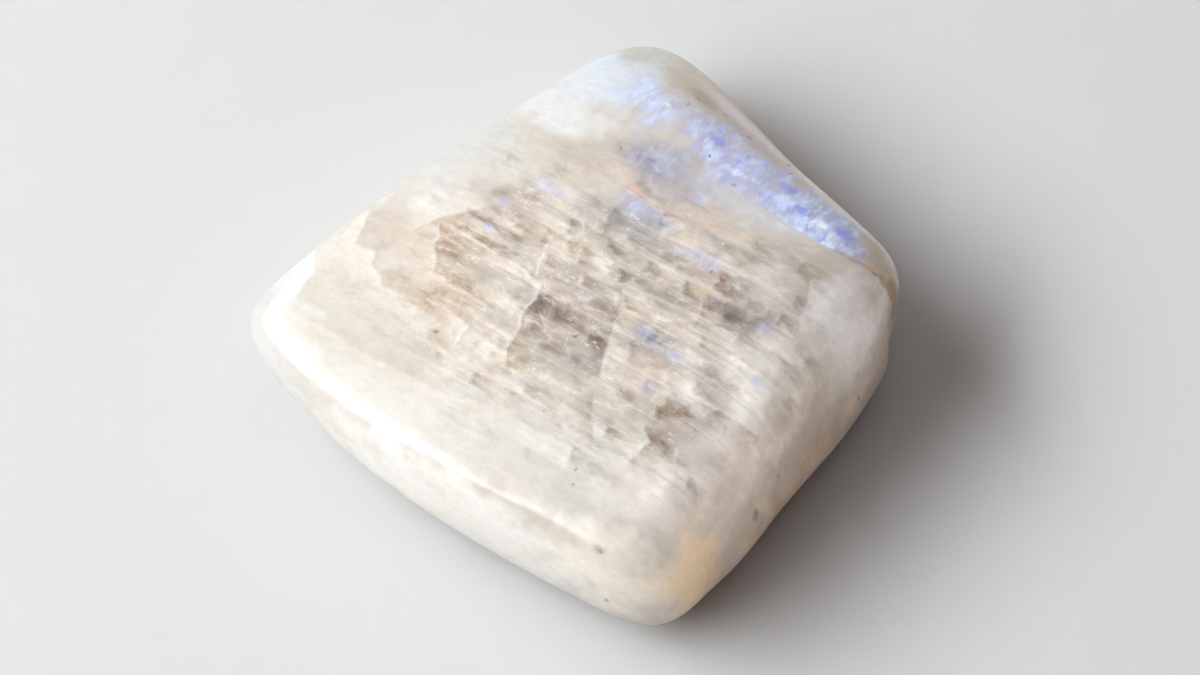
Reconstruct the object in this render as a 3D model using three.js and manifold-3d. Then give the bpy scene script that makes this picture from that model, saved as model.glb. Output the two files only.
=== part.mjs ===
// A tumbled moonstone: one flat, cushion-shaped pebble with four worn sides, lying on its underside.
// Millimetres, +Z up. The origin is on the ground, under the middle of the stone's bounding box.
import * as THREE from "three";
import { mergeVertices } from "three/addons/utils/BufferGeometryUtils.js";
import Module from "manifold-3d";

// ---- Driving dimensions

const thickness = 9.6; // between the top face and the underside, in the middle
const topRise = 4; // degrees by which the top face climbs towards +X
const crownRadius = 120; // the top face is slightly domed
const bellyRadius = 140; // and so is the underside
const bellyShift = 2; // its lowest point lies this far towards +X
const restDepth = 0.16; // how much of the belly is worn flat where the stone rests

// Each side's outward heading seen from above, its lean upwards (degrees), and its distance from the middle (mm).
const sides = {
  frontLeft: { heading: 238, lean: 0, distance: 14.45 },
  frontRight: { heading: -35.5, lean: 0, distance: 14.3 },
  backRight: { heading: 33, lean: 0, distance: 14.8 },
  backLeft: { heading: 129, lean: 3, distance: 12.4 },
  leftCorner: { heading: 214.5, lean: -10, distance: 16.65 },
  leftUndercut: { heading: 215.5, lean: -45, distance: 14.3 },
  frontRightBevel: { heading: -37, lean: 45, distance: 12.6 },
  backRightBevel: { heading: 47, lean: 42, distance: 12.8 },
};
const cornerWear = 1.23; // softness of the upright corners between sides
const rimWear = 0.8; // softness of the rims, where the sides turn into the top face and the underside

// Broad lumps and hollows left by tumbling: centre on the stone, reach, and how far the skin moves out (+) or in (-).
const lumps = [
  { at: [-8, -3, 4.2], reach: 6, height: 0.12 }, // low swell near the left corner
  { at: [2, 2, 5.2], reach: 6, height: -0.12 }, // dish in the top face
  { at: [9.5, 8.6, 4.3], reach: 4.5, height: -0.37 }, // dish along the back right rim
  { at: [15.8, 1, 3], reach: 2.5, height: 0.37 }, // swells and a dent around the right corner
  { at: [15.9, -1.3, 0.3], reach: 2.4, height: -0.14 },
  { at: [13.4, -5, -2], reach: 3.6, height: 0.16 },
  { at: [11.3, -8.6, -1], reach: 4.2, height: 0.28 }, // swells down the front right side
  { at: [7.7, -13.2, -1.5], reach: 2.8, height: 0.26 },
  { at: [6, -15, 1], reach: 2.8, height: -0.28 }, // groove down the front corner
  { at: [-11, 8, 0], reach: 6, height: 0.2 }, // swell on the back left side
  { at: [-6, 6, -5], reach: 7, height: -0.16 }, // unevenness of the underside
  { at: [9, -8, -5], reach: 5, height: -0.2 },
];

// The open fissure at the right corner: past an arc, seen from above, the skin drops and then climbs back. It fades in
// over a stretch of x and of y.
const fissure = { at: [12.6, -2.2], radius: 3.3, depth: 0.42, step: 0.3, reach: 0.75 };
const fissureFade = { x: [12.9, 14.6], y: [-2.2, -1.6] };

// The chip along the rim of the front left side, a shallow scoop with its long axis along the rim.
const chip = { at: [-5.15, -12.45, 3.4], heading: 324, length: 2.1, width: 0.65, depth: 0.1 };

const facetRings = 20; // subdivisions of the starting icosahedron

// ---- The skin as a function of position

const radians = THREE.MathUtils.degToRad;

// The unit vector with this heading in the ground plane, leaning up by this many degrees.
function directionOf(heading, lean = 0) {
  const azimuth = radians(heading);
  const tilt = radians(lean);
  return new THREE.Vector3(
    Math.cos(azimuth) * Math.cos(tilt),
    Math.sin(azimuth) * Math.cos(tilt),
    Math.sin(tilt),
  );
}

const sidePlanes = Object.values(sides).map(({ heading, lean, distance }) => ({
  normal: directionOf(heading, lean),
  distance,
}));
const topNormal = directionOf(180, 90 - topRise);

// The largest of the values, rounded off over the given softness.
function softMax(values, softness) {
  const largest = Math.max(...values);
  const sum = values.reduce((total, value) => total + Math.exp((value - largest) / softness), 0);
  return largest + softness * Math.log(sum);
}

// A bell curve, 1 in the middle.
const bell = (offset, reach) => Math.exp(-((offset / reach) ** 2));

function lumpHeight(point) {
  return lumps.reduce((total, { at, reach, height }) => {
    const offset = point.distanceTo(new THREE.Vector3(...at));
    return total + height * bell(offset, reach);
  }, 0);
}

function fissureLoss(point) {
  const past = Math.hypot(point.x - fissure.at[0], point.y - fissure.at[1]) - fissure.radius;
  const drop = THREE.MathUtils.smoothstep(past, 0, fissure.step);
  const climb = bell(Math.max(past - fissure.step, 0), fissure.reach);
  const fade =
    THREE.MathUtils.smoothstep(point.x, ...fissureFade.x) * THREE.MathUtils.smoothstep(point.y, ...fissureFade.y);
  return fissure.depth * drop * climb * fade;
}

const chipDirection = directionOf(chip.heading);

function chipLoss(point) {
  const offset = point.clone().sub(new THREE.Vector3(...chip.at));
  const along = offset.dot(chipDirection);
  const across = offset.addScaledVector(chipDirection, -along).length();
  return chip.depth * bell(along, chip.length) * bell(across, chip.width);
}

// Distance outside the skin, roughly: negative in the stone.
function outside(point) {
  const round = softMax(sidePlanes.map(({ normal, distance }) => point.dot(normal) - distance), cornerWear);
  const above = point.dot(topNormal) - thickness / 2 + (point.x ** 2 + point.y ** 2) / (2 * crownRadius);
  const belly = ((point.x - bellyShift) ** 2 + point.y ** 2) / (2 * bellyRadius);
  const below = -point.z - thickness / 2 + belly;
  const pebble = softMax([round, above, below], rimWear);
  return pebble - lumpHeight(point) + fissureLoss(point) + chipLoss(point);
}

// ---- Solids

// Walks out from the middle along a direction to the skin.
function skinAlong(direction) {
  let near = 0;
  let far = 30;
  for (let halving = 0; halving < 40; halving += 1) {
    const middle = (near + far) / 2;
    if (outside(direction.clone().multiplyScalar(middle)) > 0) far = middle;
    else near = middle;
  }
  return direction.clone().multiplyScalar((near + far) / 2);
}

// A sphere pressed flat like the stone first, so that its vertices end up evenly spread, then pushed to the skin.
function pebbleGeometry() {
  const flatness = thickness / Math.hypot(sides.frontLeft.distance, sides.backRight.distance);
  const geometry = new THREE.IcosahedronGeometry(1, facetRings);
  const position = geometry.getAttribute("position");
  for (let index = 0; index < position.count; index += 1) {
    const direction = new THREE.Vector3().fromBufferAttribute(position, index);
    direction.z *= flatness;
    const skin = skinAlong(direction.normalize());
    position.setXYZ(index, skin.x, skin.y, skin.z);
  }
  return geometry;
}

const wasm = await Module();
wasm.setup();

function solidOf(geometry) {
  const bare = geometry.clone();
  bare.deleteAttribute("normal");
  bare.deleteAttribute("uv");
  const merged = mergeVertices(bare, 1e-4);
  return new wasm.Manifold(
    new wasm.Mesh({
      numProp: 3,
      vertProperties: merged.getAttribute("position").array,
      triVerts: new Uint32Array(merged.index.array),
    }),
  );
}

function geometryOf(solid) {
  const mesh = solid.getMesh();
  const geometry = new THREE.BufferGeometry();
  geometry.setAttribute("position", new THREE.BufferAttribute(mesh.vertProperties, mesh.numProp));
  geometry.setIndex(new THREE.BufferAttribute(mesh.triVerts, 1));
  geometry.computeVertexNormals();
  return geometry;
}

// The stone with the lowest part of its belly worn away flat, moved so that it stands on the origin.
function stoneGeometry() {
  const pebble = pebbleGeometry();
  pebble.computeBoundingBox();
  const restHeight = pebble.boundingBox.min.z + restDepth;
  const size = pebble.boundingBox.getSize(new THREE.Vector3());
  const ground = new THREE.BoxGeometry(size.x * 2, size.y * 2, size.z);
  ground.translate(0, 0, restHeight - size.z / 2);
  const geometry = geometryOf(solidOf(pebble).subtract(solidOf(ground)));
  geometry.computeBoundingBox();
  const middle = geometry.boundingBox.getCenter(new THREE.Vector3());
  geometry.translate(-middle.x, -middle.y, -geometry.boundingBox.min.z);
  return geometry;
}

// ---- The part

const stone = new THREE.Mesh(
  stoneGeometry(),
  new THREE.MeshStandardMaterial({ color: 0xdccfc4, roughness: 0.22, metalness: 0 }),
);
stone.name = "moonstone";

const part = new THREE.Group();
part.add(stone);

export default part;
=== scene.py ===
import math

import bpy
import numpy as np
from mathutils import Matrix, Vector
from mathutils import noise as mathNoise


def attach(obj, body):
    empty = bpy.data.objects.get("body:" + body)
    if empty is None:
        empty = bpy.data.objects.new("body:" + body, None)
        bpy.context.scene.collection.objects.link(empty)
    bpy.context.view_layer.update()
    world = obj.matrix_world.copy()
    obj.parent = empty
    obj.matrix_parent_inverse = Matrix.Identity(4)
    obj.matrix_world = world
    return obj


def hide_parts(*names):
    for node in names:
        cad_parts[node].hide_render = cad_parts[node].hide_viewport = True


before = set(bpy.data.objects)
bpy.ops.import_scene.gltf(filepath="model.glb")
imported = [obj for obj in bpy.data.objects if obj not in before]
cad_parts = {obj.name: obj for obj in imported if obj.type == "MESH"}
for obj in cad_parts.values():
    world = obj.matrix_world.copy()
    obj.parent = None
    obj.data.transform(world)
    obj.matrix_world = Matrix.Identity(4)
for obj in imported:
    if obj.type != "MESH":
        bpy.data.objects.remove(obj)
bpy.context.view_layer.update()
mm = 0.001  # sizes below are in millimetres


def selectOnly(thing):
    bpy.ops.object.select_all(action="DESELECT")
    thing.select_set(True)
    bpy.context.view_layer.objects.active = thing


def applyModifier(thing, kind, name, **values):
    modifier = thing.modifiers.new(name, kind)
    for key, value in values.items():
        setattr(modifier, key, value)
    selectOnly(thing)
    bpy.ops.object.modifier_apply(modifier=modifier.name)


def tint(red, green, blue):
    # a colour as seen on a screen, 0 to 255, made linear
    return tuple(
        value / 255 / 12.92 if value < 10.3 else ((value / 255 + 0.055) / 1.055) ** 2.4
        for value in (red, green, blue)
    )


# The stone's skin

stoneShape = {
    "quad": 0.24,  # side of the skin's quads, halved on the top face
    "merge": 0.001,
    "smoothing": 3,  # rounds
    "topSmoothing": 2,
    "topSlope": 0.75,  # the top face has normals steeper than this
    "topAbove": 6.0,
    "swell": {"scale": 4.5, "depth": 0.05},  # slow unevenness left by the tumbler
    "pits": {"scale": 0.8, "depth": 0.012},
}


def copyOfNode(name, newName):
    selectOnly(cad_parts[name])
    bpy.ops.object.duplicate()
    piece = bpy.context.object
    piece.name = newName
    piece.data.name = newName
    piece.parent = None
    for key in list(piece.keys()):
        del piece[key]
    piece.data.materials.clear()
    bpy.ops.object.mode_set(mode="EDIT")
    bpy.ops.mesh.select_all(action="SELECT")
    bpy.ops.mesh.remove_doubles(threshold=stoneShape["merge"] * mm)
    bpy.ops.mesh.customdata_custom_splitnormals_clear()
    bpy.ops.object.mode_set(mode="OBJECT")
    return piece


def cloudTexture(name, scale):
    texture = bpy.data.textures.new(name, "CLOUDS")
    texture.noise_scale = scale * mm
    return texture


def refineTop(stone):
    # halves the quads on the top face
    bpy.ops.object.mode_set(mode="EDIT")
    bpy.ops.mesh.select_mode(type="FACE")
    bpy.ops.mesh.select_all(action="DESELECT")
    bpy.ops.object.mode_set(mode="OBJECT")
    for face in stone.data.polygons:
        face.select = face.normal.z > stoneShape["topSlope"] and face.center.z > stoneShape["topAbove"] * mm
    bpy.ops.object.mode_set(mode="EDIT")
    bpy.ops.mesh.subdivide(number_cuts=1)
    bpy.ops.object.mode_set(mode="OBJECT")


def makeStone():
    stone = copyOfNode("moonstone", "moonstone_skin")
    applyModifier(stone, "REMESH", "grain", mode="VOXEL", voxel_size=stoneShape["quad"] * mm)
    applyModifier(stone, "SMOOTH", "polish", iterations=stoneShape["smoothing"])
    refineTop(stone)
    applyModifier(stone, "SMOOTH", "polishTop", iterations=stoneShape["topSmoothing"])
    for name in ("swell", "pits"):
        part = stoneShape[name]
        applyModifier(
            stone, "DISPLACE", name,
            texture=cloudTexture(name, part["scale"]), texture_coords="LOCAL",
            strength=part["depth"] * mm, mid_level=1,
        )
    bpy.ops.object.shade_smooth()
    return stone


stone = makeStone()
print("stone skin:", len(stone.data.polygons), "faces")

# What is painted on the skin. The lamellae are the thin layers of the feldspar, and cross fractures cut them
# into blocks. Places are (along, across, up) in millimetres: along the lamellae, across them, and height.

lamellae = {
    "heading": -34.6,  # degrees from +X, seen from above
    "rowHeight": 1.15,
    "rowUneven": 1.6,
    "columnLength": 2.5,
    "columnJitter": 2.4,
    "columnLean": 0.28,  # cross fractures lean this much from square to the lamellae
    "wander": 0.9,
    "rowWave": 0.1,
    "jagged": 0.34,
    "seed": 3,
}

# Unevenness of what is painted: scale, seed and strength of each layer of noise
unevenness = {
    "milk": [(0.22, 3, 1)],
    "ragged": [(0.6, 11, 0.35), (1.7, 29, 0.15)],  # outlines of patches
    "driftAlong": [(0.4, 41, 0.25), (1.3, 46, 0.14), (2.4, 91, 0.09)],
    "driftAcross": [(0.4, 57, 0.1), (1.3, 62, 0.056), (2.4, 97, 0.07)],
    "tearAlong": [(2.4, 91, 0.2)],  # edges of windows
    "tearAcross": [(2.4, 97, 0.08)],
    "wall": [(0.45, 83, 0.6)],
    "wallStreaks": [(1, 71, 1)],
}

milkColours = ((196, 181, 166), (212, 203, 193))  # the stone varies slowly between these

# Broad zones: centre, radii, turn, softness, strength, colour
zones = {
    "underMilk": ((0, 0, -1), (20, 20, 4), 0, 0.8, 0.8, (214, 208, 201)),
    "creamLeft": ((-8.0, -8.5, 7), (8.5, 5.5, 7), 0, 0.6, 1.0, (192, 181, 169)),
    "upperLeftRim": ((-9.5, 3.5, 8), (6, 6, 6), 0, 0.6, 0.9, (203, 198, 192)),
    "topWhite": ((-6.0, 11.8, 8), (5.5, 4.0, 6), 0, 0.6, 1.0, (216, 218, 221)),
    "upperTan": ((-4.0, 6.6, 9), (4.5, 2.6, 4), -10, 0.7, 0.8, (190, 178, 167)),
    "tanMiddle": ((-3.5, -1.6, 9), (5.0, 4.2, 5), 0, 0.5, 0.9, (196, 186, 175)),
    "greyBrown": ((2.2, -3.0, 9), (4.6, 3.6, 4), 0, 0.6, 0.9, (176, 166, 158)),
    "lilacMiddle": ((0.5, 4.3, 9), (4.5, 2.2, 4), 0, 0.7, 0.8, (152, 147, 150)),
    "tanRight": ((8.0, 4.4, 9), (6.5, 3.4, 4), 0, 0.6, 0.9, (204, 194, 184)),
    "lilacShade": ((0.6, 8.2, 9), (3.8, 2.6, 4), 0, 0.9, 0.8, (116, 110, 112)),
    "crackTan": ((6.8, 6.6, 9), (6.0, 1.2, 4), 6, 0.9, 0.6, (190, 178, 166)),
    "greyBand": ((5.5, 8.6, 9), (6.5, 1.8, 4), 0, 0.7, 0.9, (206, 203, 204)),
    "lowerMilk": ((5.5, -9.6, 8), (9.5, 3.4, 5), 0, 0.6, 0.9, (206, 199, 191)),
    "rightMilk": ((12.0, -2.5, 8), (3.6, 6.0, 5), 0, 0.7, 0.9, (250, 243, 236)),
    "greyRight": ((14.2, 6.0, 8), (3.6, 4.4, 5), 0, 0.9, 0.9, (255, 251, 253)),
    "backRim": ((8.5, 13.0, 7), (9.0, 2.2, 5), -18, 0.7, 0.9, (246, 240, 236)),
    "frontWall": ((2, -14.2, 4), (15, 2.2, 7), 0, 0.6, 0.9, (232, 226, 219)),
    "shoulder": ((-2.5, -11.4, 8), (11.5, 1.7, 3), 0, 0.9, 0.75, (211, 204, 197)),
    "leftWall": ((-13, -11, 3), (8, 4, 6), 0, 0.7, 0.8, (208, 203, 197)),
    "rightWall": ((16.4, -1.5, 2.5), (2.2, 10, 4.5), 0, 0.7, 0.9, (250, 226, 206)),
    "midShade": ((4.6, 1.0, 9), (3.6, 1.8, 4), 0, 0.8, 0.8, (158, 148, 139)),
    "crystalGrey": ((9.2, 2.5, 9), (2.8, 1.9, 4), 0, 0.8, 0.8, (126, 118, 114)),
    "crystalPale": ((12.0, 1.9, 9), (1.9, 1.3, 4), 0, 0.8, 0.8, (226, 216, 208)),
    "crystalShade": ((10.8, -2.6, 9), (3.8, 1.5, 4), 125, 0.9, 0.75, (154, 142, 132)),
    "peachLeft": ((-4.7, -5.1, 9), (3.0, 2.3, 4), 0, 0.9, 0.8, (180, 158, 141)),
    "peachUpper": ((-5.4, 1.6, 9), (4.2, 2.6, 4), 0, 0.9, 0.8, (172, 155, 142)),
    "tanCrack": ((5.9, 3.2, 9), (2.6, 1.4, 4), 0, 0.9, 0.8, (172, 158, 145)),
    "lilacSpot": ((5.9, -1.3, 9), (2.4, 1.3, 4), 0, 0.9, 0.8, (148, 138, 134)),
    "pockShade": ((9.9, -5.4, 9), (3.0, 2.3, 4), 0, 0.8, 0.85, (178, 165, 154)),
    "rimTop": ((-6.5, 8.2, 8), (4.2, 2.4, 4), 0, 0.8, 0.8, (222, 221, 219)),
    "lowRight": ((11.0, -9.4, 8), (4.2, 2.6, 4), 0, 0.9, 0.8, (238, 226, 216)),
    "pinkRight": ((13.4, -5.2, 7), (2.6, 4.2, 5), 0, 0.9, 0.7, (255, 240, 231)),
    "lowShade": ((12.4, -5.6, 9), (1.8, 1.3, 4), 0, 0.9, 0.75, (196, 184, 174)),
    "frontCorner": ((11.4, -12.6, 6), (5.4, 3.2, 5), 0, 0.9, 0.9, (244, 230, 212)),
    "nose": ((14.6, -10.0, 5), (3.4, 3.4, 5), 0, 1.1, 1.0, (255, 232, 206)),
    "ochreCorner": ((14.7, -9.8, 4.6), (2.0, 2.4, 3.4), 0, 0.6, 0.7, (255, 226, 184)),
    "brownRim": ((2.3, 13.7, 8), (6.5, 1.3, 3), -18, 0.7, 0.9, (224, 218, 220)),
    "mauveRim": ((3.4, 12.75, 8.3), (6.2, 1.1, 3), -15, 0.9, 0.85, (186, 175, 180)),
    "rimBrown": ((-0.7, 13.7, 8.4), (1.6, 0.7, 2), -15, 0.9, 0.7, (176, 158, 142)),
}

# Warm upright streaks on the wall under the right corner
wallStreaks = {
    "centre": (16.0, -3.0, 2.5), "radii": (3.0, 7.5, 5), "soft": 1.0,
    "squash": (1.1, 1.1, 0.35),  # the noise is stretched upwards by the last one
    "gain": 1.6, "level": 0.3, "strength": 0.55,
    "colour": (206, 176, 148),
}

# The white left corner, past a broken edge. Points along and across.
leftWhite = {
    "edge": ((-12.95, -5.8), (-12.2, -6.95), (-12.05, -8.95), (-9.9, -9.0), (-9.4, -10.4), (-7.8, -11.2)),
    "crisp": 0.16,
    "until": -5,  # along
    "above": 3, "aboveFade": 3,
    "acrossFrom": -9.9, "acrossFade": 1.4,
    "strength": 0.7,
    "colour": (214, 214, 215),
}

# Where the stone is full of layers and crystals, and where the top face starts
layered = {"centre": (3.0, -1.2, 9), "radii": (15.0, 11.5, 5), "soft": 0.6}
topFace = {"above": 6, "fade": 1.5}

# The blue sheen, a painted sheen that keeps its colour from every side: centre, radii, turn, softness,
# strength
paintedSheen = [
    ((5.2, 10.6, 9), (7.6, 2.3, 3), -9, 0.6, 0.95),
    ((9.7, 9.75, 9), (3.3, 1.8, 3), -6, 0.4, 1.0),
    ((0.8, 8.4, 9), (4.2, 2.8, 3), -5, 0.9, 0.36),
    ((-2.6, 11.5, 9), (3.2, 2.0, 3), -10, 0.8, 0.75),
    ((0.6, 5.0, 9), (3.4, 1.0, 3), 0, 0.9, 0.5),
    ((-5.7, 1.6, 9), (0.9, 0.6, 2), 0, 0.9, 0.5),
    ((-5.4, -0.2, 9), (0.5, 0.3, 2), 0, 0.9, 0.5),
    ((-3.8, 3.7, 9), (1.8, 0.6, 2), 0, 0.9, 0.5),
    ((5.7, -1.5, 9), (1.3, 0.7, 2), 0, 0.9, 0.3),
    ((7.6, -1.7, 9), (1.1, 0.5, 2), 0, 0.9, 0.4),
    ((7.7, -4.1, 9), (1.0, 0.6, 2), 0, 0.9, 0.35),
    ((5.2, 4.2, 9), (1.8, 0.8, 2), 0, 0.9, 0.5),
    ((10.6, 2.4, 9), (0.7, 0.5, 2), 0, 0.9, 0.5),
    ((12.0, -0.5, 9), (0.8, 0.6, 2), 0, 0.9, 0.4),
]

# Violet and white flashes in the sheen, painted into the colour as glints of light: centre, radii, strength
violetFlashes = [
    ((1.61, 11.43, 9), (0.75, 0.4, 2), 1.0),
    ((0.81, 10.07, 9), (0.6, 0.35, 2), 0.9),
    ((3.2, 10.9, 9), (0.9, 0.3, 2), 0.6),
    ((6.67, 10.91, 9), (0.8, 0.45, 2), 0.8),
    ((8.15, 10.0, 9), (0.7, 0.35, 2), 1.0),
    ((8.96, 9.09, 9), (0.6, 0.25, 2), 0.9),
    ((10.63, 10.1, 9), (0.9, 0.45, 2), 0.8),
    ((6.3, 9.6, 9), (0.6, 0.4, 2), 0.6),
    ((7.6, -1.6, 9), (0.4, 0.2, 2), 0.8),
    ((-5.7, 1.7, 9), (0.3, 0.2, 2), 0.7),
    ((-0.4, 8.0, 9), (1.2, 0.5, 2), 0.6),
    ((2.4, 7.2, 9), (1.2, 0.5, 2), 0.5),
    ((0.7, 5.0, 9), (0.9, 0.3, 2), 0.7),
    ((5.5, -1.4, 9), (0.6, 0.3, 2), 0.5),
]
# the white flashes are painted highlights
whiteFlashes = [
    ((6.92, 9.97, 9), (1.0, 0.5, 2), 1.0),
    ((8.47, 8.72, 9), (1.1, 0.25, 2), 1.0),
    ((9.9, 8.7, 9), (1.3, 0.22, 2), 0.9),
    ((9.26, 9.74, 9), (1.0, 0.35, 2), 1.0),
    ((3.58, 10.14, 9), (1.2, 0.4, 2), 0.8),
    ((2.4, 9.4, 9), (0.9, 0.4, 2), 0.5),
    ((-2.2, 11.9, 9), (1.1, 0.5, 2), 0.8),
    ((-2.6, 11.6, 9), (3.0, 1.8, 2), 0.55),
    ((9.6, 9.2, 9), (2.4, 0.8, 2), 0.45),
    ((-3.57, 12.7, 9), (1.0, 0.6, 2), 1.0),
    ((11.0, 2.0, 9), (0.4, 0.3, 2), 0.8),
    ((12.1, -0.9, 9), (0.4, 0.3, 2), 0.7),
]

# The crisp lower edge of the painted sheen, with a painted white highlight line along part of it
sheenRim = {
    "line": ((5.5, 8.0, 11.2), (8.95, 8.57, 8.66)),  # along, across
    "acrossFrom": 7, "crisp": 0.15,
    "flashFrom": 6.5, "flashTo": 10.8, "flashAbove": 0.15, "flashWidth": 0.22, "flashStrength": 0.8,
}

# Fractures and lamella edges, where the stone steps from milky to clear: how milky, how clear, the reach of
# both, how bright the edge is, and its points. Seen along the points the milky side is on the right. The
# bright edge and the lighter side are partly painted light, and the clear side partly painted shade, as where
# a crack catches the light; the rest is the stone's own milky and clear layers.
steps = [
    (0.55, 0.22, 2.4, 0.4, ((-11.8, -2.4), (-11.4, -4.0), (-11.3, -4.6), (-9.9, -4.65), (-9.7, -5.2),
      (-8.5, -5.85), (-8.4, -6.1), (-6.9, -6.2), (-5.0, -6.45), (-4.3, -6.6))),
    (0.45, 0.45, 1.3, 0.7, ((-7.7, -1.4), (-7.3, -2.3), (-7.0, -3.0), (-6.45, -4.0), (-5.3, -4.15),
      (-3.1, -4.35), (-1.7, -4.45))),
    (0.4, 0.3, 1.6, 0.2, ((-6.6, 0.6), (-7.7, -0.7), (-8.8, -2.1))),
    (0.3, 0.35, 0.9, 0.4, ((-5.95, -4.3), (-5.5, -5.45))),
    (0.4, 0.2, 0.8, 0.9, ((-5.6, -5.65), (-2.85, -5.95), (-2.7, -7.4))),
    (0.6, 0.6, 1.4, 0.8, ((-0.9, -1.9), (-0.7, -2.9), (-0.65, -4.1), (-0.2, -5.0), (-0.05, -6.15),
      (0.35, -6.75))),
    (0.35, 0.3, 0.7, 1.0, ((-1.5, -1.6), (-1.7, -1.0), (-2.0, 0.4))),
    (0.45, 0.5, 1.1, 0.5, ((5.05, -4.9), (4.7, -3.9), (4.35, -2.65), (3.9, -1.65), (3.35, -0.3),
      (2.85, 0.35))),
    (0.6, 0.4, 0.9, 0.7, ((-1.45, 2.8), (-1.05, 2.1), (-1.0, 0.75))),
    (0.4, 0.4, 1.0, 0.5, ((-0.35, 4.5), (-0.3, 3.5), (-0.1, 2.6))),
    (0.5, 0.4, 1.2, 0.6, ((11.7, 3.85), (11.4, 4.6), (11.5, 5.2), (11.1, 6.2))),
    (0.4, 0.5, 0.8, 0.8, ((13.65, -2.85), (9.1, -3.35))),
    (0.4, 0.2, 0.8, 0.6, ((13.65, -2.85), (14.0, -3.75))),
    (0.5, 0.4, 0.8, 0.9, ((8.75, -6.1), (9.3, -6.75), (9.15, -7.85))),
    (0.3, 0.35, 1.2, 0.4, ((6.95, -8.3), (6.05, -7.1), (5.4, -6.05))),
    (0.2, 0.2, 0.5, 1.0, ((10.7, -6.15), (11.5, -7.6))),
    (0.35, 0.35, 0.45, 0.8, ((2.6, 0.55), (7.4, 1.1), (13.9, 0.8))),
    (0.3, 0.35, 0.5, 0.6, ((0.9, 3.05), (4.0, 3.0), (7.2, 2.8))),
    (0.4, 0.2, 0.6, 0.6, ((4.5, -8.5), (9.7, -8.1), (14.0, -8.0))),
    (0.5, 0.5, 0.5, 0.9, ((-7.3, -1.1), (-4.0, -1.45), (-1.7, -1.65))),
    (0.5, 0.5, 0.4, 0.7, ((-6.6, 0.0), (-4.2, -0.45), (-1.9, -0.55))),
    (0.45, 0.45, 0.5, 0.5, ((-6.0, 0.8), (-3.6, 0.55), (-1.9, 0.35))),
    (0.3, 0.3, 0.4, 0.4, ((1.2, -2.0), (4.2, -1.75))),
    (0.35, 0.25, 0.5, 0.6, ((4.4, -0.55), (8.2, -0.1), (13.0, 0.0))),
    (0.25, 0.3, 0.5, 0.5, ((4.2, -2.9), (8.6, -2.75), (12.6, -1.4))),
    (0.3, 0.3, 0.5, 0.5, ((-0.5, -4.9), (2.6, -5.1), (5.4, -5.4))),
    (0.3, 0.35, 0.5, 0.6, ((5.6, 4.6), (9.0, 4.8), (11.0, 4.5))),
    (0.25, 0.3, 0.5, 0.4, ((7.0, 5.6), (10.2, 6.0), (12.6, 6.0))),
    (0.3, 0.12, 0.8, 0.3, ((-12.3, -9.6), (-6.5, -10.0), (-1.2, -10.0))),
    (0.35, 0.15, 0.9, 0.4, ((-3.2, -8.6), (2.2, -9.0), (5.2, -9.6))),
    (0.3, 0.2, 0.5, 0.5, ((0.2, -7.3), (4.0, -7.9), (6.8, -8.4))),
    (0.25, 0.22, 0.7, 0.5, ((-10.5, -7.4), (-6.0, -7.6), (-2.2, -7.9))),
    (0.2, 0.2, 0.6, 0.4, ((-9.6, -8.4), (-5.0, -8.8), (-0.4, -8.6))),
    (0.25, 0.3, 0.7, 0.6, ((-8.9, -5.3), (-6.2, -5.2), (-4.6, -5.5))),
    (0.2, 0.25, 0.8, 0.3, ((-10.9, -3.6), (-9.2, -3.5), (-7.6, -3.8))),
    (0.3, 0.25, 0.5, 0.5, ((-5.2, 2.2), (-2.6, 2.0), (-0.6, 1.9))),
    (0.25, 0.25, 0.6, 0.3, ((-4.4, 4.4), (-1.0, 4.2), (3.0, 4.3))),
]
stepLook = {"crisp": 0.12, "ends": 0.4, "line": 0.24, "lineEnds": 0.15}

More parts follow.
